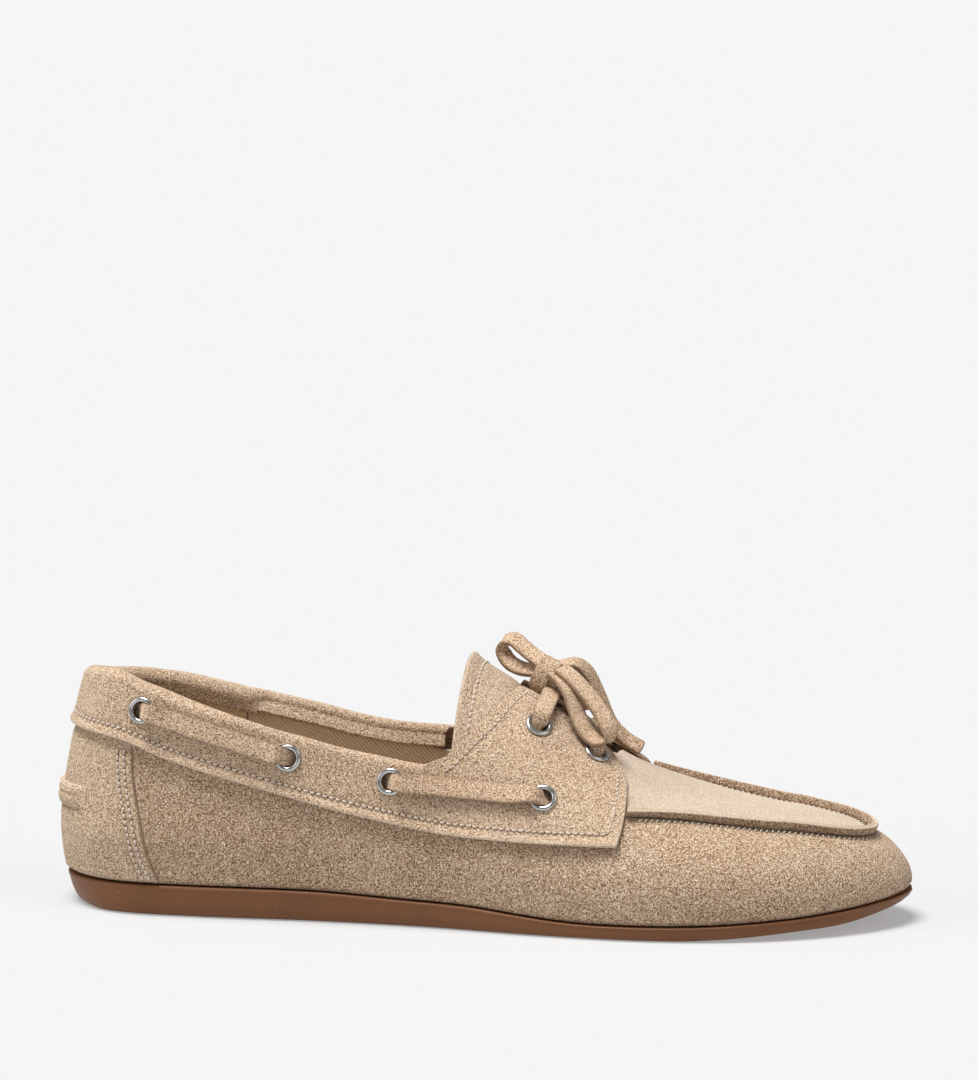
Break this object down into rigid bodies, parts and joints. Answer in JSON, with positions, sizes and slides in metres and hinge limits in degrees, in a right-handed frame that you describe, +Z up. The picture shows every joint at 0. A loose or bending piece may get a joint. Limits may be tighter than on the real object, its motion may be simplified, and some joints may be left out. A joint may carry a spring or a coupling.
{
  "type": "moccasin",
  "caption": "Low suede boat-style moccasin for the right foot: rolled collar laced through metal eyelets, raised apron seam, tied thong bow, thin rubber sole",
  "frame": {"origin": "on the ground under the centre of the shoe's bounding box", "axes": "+X runs heel to toe, +Y to the inner (medial) side of the foot, +Z up from the ground"},
  "size_m": [0.2614, 0.087, 0.0839],
  "materials": {
    "suede": "napped suede, matte",
    "suede_lace": "napped rawhide thong, matte",
    "heel_grip_suede": "napped suede, matte",
    "twill_lining": "diagonal cotton twill",
    "footbed_suede": "smooth-backed suede sock",
    "sole_rubber": "caramel crepe rubber, satin",
    "eyelet_nickel": "polished nickel plate",
    "stiffener": "pressed fibre board",
    "collar_foam": "open-cell padding"
  },
  "bodies": {
    "shoe": {"collar_band": "suede", "collar_facing_heel": "suede", "collar_facing_lateral": "suede", "collar_facing_medial": "suede", "vamp": "suede", "heel_cap": "suede", "apron_plug": "suede", "apron_ridge": "suede", "heel_tab": "suede", "lace": "suede_lace", "lace_knot": "suede_lace", "heel_grip": "heel_grip_suede", "lining_lateral": "twill_lining", "lining_medial": "twill_lining", "lining_vamp": "twill_lining", "footbed": "footbed_suede", "outsole": "sole_rubber", "eyelet_lateral_a": "eyelet_nickel", "eyelet_lateral_b": "eyelet_nickel", "eyelet_lateral_c": "eyelet_nickel", "eyelet_lateral_d": "eyelet_nickel", "eyelet_lateral_e": "eyelet_nickel", "eyelet_lateral_f": "eyelet_nickel", "eyelet_medial_a": "eyelet_nickel", "eyelet_medial_b": "eyelet_nickel", "eyelet_medial_c": "eyelet_nickel", "eyelet_medial_d": "eyelet_nickel", "eyelet_medial_e": "eyelet_nickel", "eyelet_medial_f": "eyelet_nickel", "heel_counter": "stiffener", "toe_puff": "stiffener", "insole_board": "stiffener", "collar_foam": "collar_foam"},
    "tongue_body": {"tongue": "suede"},
    "loop_lateral": {"lace_loop_lateral": "suede_lace"},
    "loop_rear": {"lace_loop_rear": "suede_lace"},
    "tail_front": {"lace_tail_front": "suede_lace"},
    "tail_medial": {"lace_tail_medial": "suede_lace"}
  },
  "joints": [
    {"name": "tongue_fold", "type": "hinge", "parent": "shoe", "child": "tongue_body", "pos_m": [0.05039, 0.00092, 0.0415], "axis": [0, -1, 0], "range_deg": [0, 4], "stiffness_Nm_per_rad": 0.06},
    {"name": "loop_lateral_lift", "type": "hinge", "parent": "shoe", "child": "loop_lateral", "pos_m": [0.02319, -0.00528, 0.0742], "axis": [-0.7507, -0.6606, 0], "range_deg": [0, 40], "stiffness_Nm_per_rad": 0.01},
    {"name": "loop_rear_lift", "type": "hinge", "parent": "shoe", "child": "loop_rear", "pos_m": [0.01769, 0.00412, 0.074], "axis": [0, 1, 0], "range_deg": [0, 30], "stiffness_Nm_per_rad": 0.01},
    {"name": "tail_front_lift", "type": "hinge", "parent": "shoe", "child": "tail_front", "pos_m": [0.02369, 0.00112, 0.074], "axis": [0, -1, 0], "range_deg": [0, 30], "stiffness_Nm_per_rad": 0.01},
    {"name": "tail_medial_lift", "type": "hinge", "parent": "shoe", "child": "tail_medial", "pos_m": [0.02219, 0.00302, 0.0714], "axis": [1, 0, 0], "range_deg": [0, 30], "stiffness_Nm_per_rad": 0.01}
  ]
}
